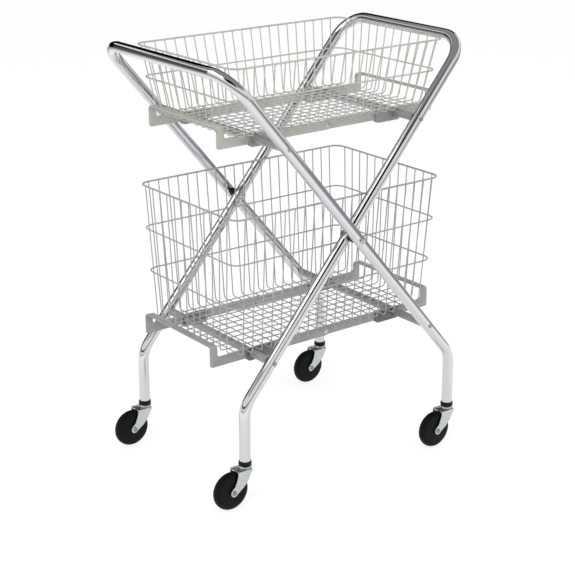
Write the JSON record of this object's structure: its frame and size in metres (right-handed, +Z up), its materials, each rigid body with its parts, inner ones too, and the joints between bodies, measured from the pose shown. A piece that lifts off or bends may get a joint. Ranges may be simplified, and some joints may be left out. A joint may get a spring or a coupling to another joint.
{
  "type": "folding utility cart",
  "caption": "Folding utility cart: crossed chrome tube frames on swivel casters carry hinged shelves with wire baskets.",
  "frame": {"origin": "on the floor under the middle of the cart's bounding box", "axes": "+Z up, +Y along the pivots and handle bars, +X towards the inner frame's handle"},
  "size_m": [0.63, 0.4576, 0.8589],
  "materials": {
    "chrome_tube": "polished",
    "grey_stretcher": "satin",
    "grey_bracket": "satin",
    "upper_shelf": "satin",
    "lower_shelf": "satin",
    "upper_wire": "satin",
    "lower_wire": "satin",
    "zinc_fork": "zinc plated",
    "zinc_hardware": "zinc plated",
    "black_plastic": "moulded",
    "wheel_rubber": "matte"
  },
  "bodies": {
    "pivots": {"pivot_bolt_near": "zinc_hardware", "pivot_bolt_far": "zinc_hardware", "pivot_spacer_near": "black_plastic", "pivot_spacer_far": "black_plastic", "pivot_nut_near": "zinc_hardware", "pivot_nut_far": "zinc_hardware"},
    "frame_outer": {"frame_outer_tube": "chrome_tube", "stretcher_outer_upper": "grey_stretcher", "stretcher_outer_lower": "grey_stretcher", "collar_outer_near": "black_plastic", "stem_outer_near": "zinc_hardware", "collar_outer_far": "black_plastic", "stem_outer_far": "zinc_hardware"},
    "frame_inner": {"frame_inner_tube": "chrome_tube", "stretcher_inner_upper": "grey_stretcher", "stretcher_inner_lower": "grey_stretcher", "collar_inner_near": "black_plastic", "stem_inner_near": "zinc_hardware", "collar_inner_far": "black_plastic", "stem_inner_far": "zinc_hardware"},
    "shelf_upper_left": {"shelf_upper_left": "upper_shelf", "bracket_upper_left_near": "grey_bracket", "bracket_upper_left_far": "grey_bracket", "lap_rivet_upper_near": "zinc_hardware", "lap_rivet_upper_far": "zinc_hardware"},
    "shelf_upper_right": {"shelf_upper_right": "upper_shelf", "bracket_upper_right_near": "grey_bracket", "bracket_upper_right_far": "grey_bracket", "lap_tail_upper_near": "zinc_hardware", "lap_tail_upper_far": "zinc_hardware"},
    "shelf_lower_left": {"shelf_lower_left": "lower_shelf", "bracket_lower_left_near": "grey_bracket", "bracket_lower_left_far": "grey_bracket", "lap_rivet_lower_near": "zinc_hardware", "lap_rivet_lower_far": "zinc_hardware"},
    "shelf_lower_right": {"shelf_lower_right": "lower_shelf", "bracket_lower_right_near": "grey_bracket", "bracket_lower_right_far": "grey_bracket", "lap_tail_lower_near": "zinc_hardware", "lap_tail_lower_far": "zinc_hardware"},
    "basket_upper": {"basket_upper": "upper_wire"},
    "basket_lower": {"basket_lower": "lower_wire"},
    "caster_outer_near": {"fork_outer_near": "zinc_fork", "axle_outer_near": "zinc_hardware", "axle_cap_outer_near": "zinc_hardware"},
    "wheel_outer_near": {"wheel_outer_near": "wheel_rubber"},
    "caster_outer_far": {"fork_outer_far": "zinc_fork", "axle_outer_far": "zinc_hardware", "axle_cap_outer_far": "zinc_hardware"},
    "wheel_outer_far": {"wheel_outer_far": "wheel_rubber"},
    "caster_inner_near": {"fork_inner_near": "zinc_fork", "axle_inner_near": "zinc_hardware", "axle_cap_inner_near": "zinc_hardware"},
    "wheel_inner_near": {"wheel_inner_near": "wheel_rubber"},
    "caster_inner_far": {"fork_inner_far": "zinc_fork", "axle_inner_far": "zinc_hardware", "axle_cap_inner_far": "zinc_hardware"},
    "wheel_inner_far": {"wheel_inner_far": "wheel_rubber"}
  },
  "joints": [
    {"name": "fold_outer", "type": "hinge", "parent": "pivots", "child": "frame_outer", "pos_m": [0.007, 0, 0.49688], "axis": [0, 1, 0], "range_deg": [0, 22]},
    {"name": "fold_inner", "type": "hinge", "parent": "pivots", "child": "frame_inner", "pos_m": [0.007, 0, 0.49688], "axis": [0, 1, 0], "range_deg": [-22, 0]},
    {"name": "hinge_upper_left", "type": "hinge", "parent": "frame_outer", "child": "shelf_upper_left", "pos_m": [-0.16777, 0, 0.7035], "axis": [0, 1, 0], "range_deg": [-83.08, 0]},
    {"name": "hinge_upper_right", "type": "hinge", "parent": "frame_inner", "child": "shelf_upper_right", "pos_m": [0.18177, 0, 0.7035], "axis": [0, 1, 0], "range_deg": [0, 83.08]},
    {"name": "hinge_lower_left", "type": "hinge", "parent": "frame_inner", "child": "shelf_lower_left", "pos_m": [-0.17772, 0, 0.2785], "axis": [0, 1, 0], "range_deg": [-39.08, 0]},
    {"name": "hinge_lower_right", "type": "hinge", "parent": "frame_outer", "child": "shelf_lower_right", "pos_m": [0.19171, 0, 0.2785], "axis": [0, 1, 0], "range_deg": [0, 39.08]},
    {"name": "lift_upper", "type": "slide", "parent": "pivots", "child": "basket_upper", "axis": [0, 0, 1], "range_m": [0, 0.6149]},
    {"name": "lift_lower", "type": "slide", "parent": "pivots", "child": "basket_lower", "axis": [0, 0, 1], "range_m": [0, 0.1502]},
    {"name": "swivel_outer_near", "type": "hinge", "parent": "frame_outer", "child": "caster_outer_near", "pos_m": [0.256, -0.2126, 0.08], "axis": [0, 0, 1], "continuous": true},
    {"name": "spin_outer_near", "type": "hinge", "parent": "caster_outer_near", "child": "wheel_outer_near", "pos_m": [0.221, -0.2126, 0.0381], "axis": [0, 1, 0], "continuous": true},
    {"name": "swivel_outer_far", "type": "hinge", "parent": "frame_outer", "child": "caster_outer_far", "pos_m": [0.256, 0.2126, 0.08], "axis": [0, 0, 1], "continuous": true},
    {"name": "spin_outer_far", "type": "hinge", "parent": "caster_outer_far", "child": "wheel_outer_far", "pos_m": [0.221, 0.2126, 0.0381], "axis": [0, 1, 0], "continuous": true},
    {"name": "swivel_inner_near", "type": "hinge", "parent": "frame_inner", "child": "caster_inner_near", "pos_m": [-0.242, -0.1791, 0.08], "axis": [0, 0, 1], "continuous": true},
    {"name": "spin_inner_near", "type": "hinge", "parent": "caster_inner_near", "child": "wheel_inner_near", "pos_m": [-0.277, -0.1791, 0.0381], "axis": [0, 1, 0], "continuous": true},
    {"name": "swivel_inner_far", "type": "hinge", "parent": "frame_inner", "child": "caster_inner_far", "pos_m": [-0.242, 0.1791, 0.08], "axis": [0, 0, 1], "continuous": true},
    {"name": "spin_inner_far", "type": "hinge", "parent": "caster_inner_far", "child": "wheel_inner_far", "pos_m": [-0.277, 0.1791, 0.0381], "axis": [0, 1, 0], "continuous": true}
  ],
  "couplings": [
    {"joint": "fold_inner", "follows": "fold_outer", "ratio": -1},
    {"joint": "hinge_upper_left", "follows": "fold_outer", "ratio": -3.776},
    {"joint": "hinge_upper_right", "follows": "fold_outer", "ratio": 3.776},
    {"joint": "hinge_lower_left", "follows": "fold_outer", "ratio": -1.776},
    {"joint": "hinge_lower_right", "follows": "fold_outer", "ratio": 1.776},
    {"joint": "lift_upper", "follows": "fold_outer", "m_per_rad": 1.6},
    {"joint": "lift_lower", "follows": "fold_outer", "m_per_rad": 0.39}
  ]
}
